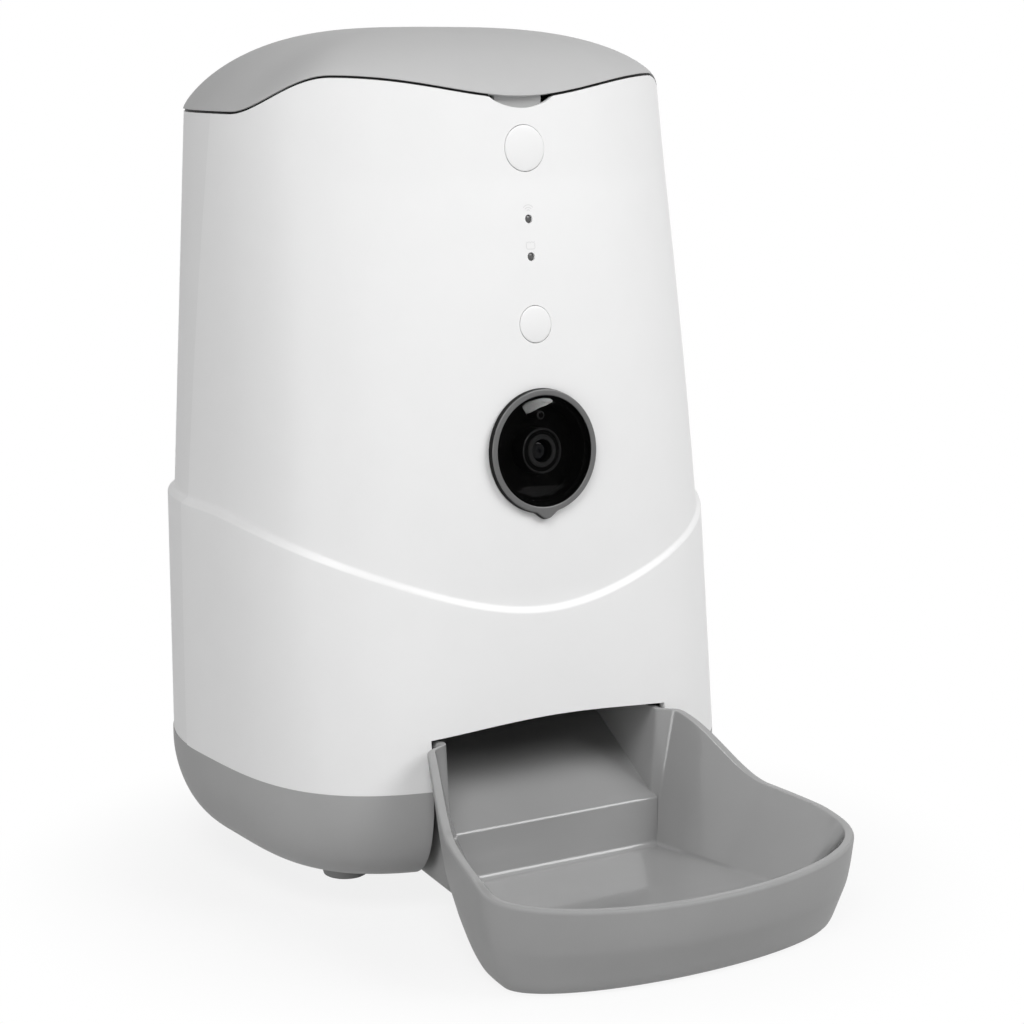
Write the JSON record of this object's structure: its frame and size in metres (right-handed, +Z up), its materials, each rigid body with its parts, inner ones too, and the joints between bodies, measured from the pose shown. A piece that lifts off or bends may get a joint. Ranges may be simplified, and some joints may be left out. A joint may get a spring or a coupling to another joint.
{
  "type": "automatic pet feeder with camera",
  "caption": "Free-standing camera pet feeder: tapered white shell on a rounded grey base, hinged domed lid over a hopper, motor-driven dosing wheel and a slide-out bowl.",
  "frame": {"origin": "on the table, under the middle of the width and of the whole depth with the bowl in", "axes": "+Z up, the bowl and the camera point to -Y, +X to the right seen from the front"},
  "size_m": [0.2028, 0.2904, 0.3174],
  "materials": {
    "white_shell": "satin white ABS with a fine moulded grain",
    "grey_body": "satin grey ABS with a fine moulded grain",
    "grey_lid": "matt light grey ABS",
    "grey_bowl": "smooth semi-gloss grey ABS",
    "bezel_grey": "dark grey satin ABS",
    "window": "tinted clear window",
    "lens": "coated lens",
    "black_parts": "black moulded plastic",
    "light_guide": "smoked clear acrylic",
    "inner_plastic": "plain light grey polypropylene",
    "wheel_soft": "dark grey silicone vanes",
    "seal": "pale silicone",
    "foot_rubber": "pale grey rubber",
    "steel": "bright steel",
    "brass": "sintered bronze and brass",
    "gear_plastic": "natural acetal",
    "board": "green solder mask",
    "sachet": "paper sachet"
  },
  "bodies": {
    "housing": {"front_shell": "white_shell", "back_cover": "white_shell", "base_housing": "grey_body", "rubber_feet": "foot_rubber", "hinge_pin": "steel", "hopper": "inner_plastic", "dosing_chamber": "inner_plastic", "shaft_bush": "brass", "gear_motor": "steel", "drive_deck": "inner_plastic", "outlet_funnel": "inner_plastic", "camera_bezel": "bezel_grey", "camera_window": "window", "lens_barrel": "black_parts", "lens_glass": "lens", "light_sensor": "black_parts", "camera_board": "board", "button_board": "board", "light_pipes": "light_guide", "main_board": "board", "speaker": "black_parts", "power_socket": "black_parts", "base_screws": "steel"},
    "lid": {"lid_shell": "grey_lid", "lid_liner": "inner_plastic", "lid_seal": "seal", "desiccant_box": "inner_plastic", "desiccant_pack": "sachet"},
    "bowl": {"bowl": "grey_bowl"},
    "feed_button": {"feed_button": "white_shell"},
    "function_button": {"function_button": "white_shell"},
    "dosing_drive": {"dosing_wheel": "wheel_soft", "dosing_shaft": "steel", "drive_gear": "gear_plastic"},
    "motor_drive": {"motor_pinion": "brass"}
  },
  "joints": [
    {"name": "lid_hinge", "type": "hinge", "parent": "housing", "child": "lid", "pos_m": [0, 0.13782, 0.2845], "axis": [-1, 0, 0], "range_deg": [0, 100]},
    {"name": "bowl_slide", "type": "slide", "parent": "housing", "child": "bowl", "axis": [0, -1, 0], "range_m": [0, 0.1]},
    {"name": "feed_button_press", "type": "slide", "parent": "housing", "child": "feed_button", "axis": [0, 0.9951, -0.0988], "range_m": [0, 0.0008], "stiffness_N_per_m": 400},
    {"name": "function_button_press", "type": "slide", "parent": "housing", "child": "function_button", "axis": [0, 0.9937, -0.1123], "range_m": [0, 0.0008], "stiffness_N_per_m": 400},
    {"name": "dosing_spin", "type": "hinge", "parent": "housing", "child": "dosing_drive", "pos_m": [0, 0.04185, 0.09], "axis": [0, 0, 1], "continuous": true},
    {"name": "pinion_spin", "type": "hinge", "parent": "housing", "child": "motor_drive", "pos_m": [0, 0.07195, 0.075], "axis": [0, 0, 1], "continuous": true}
  ],
  "couplings": [
    {"joint": "pinion_spin", "follows": "dosing_spin", "ratio": -4}
  ]
}
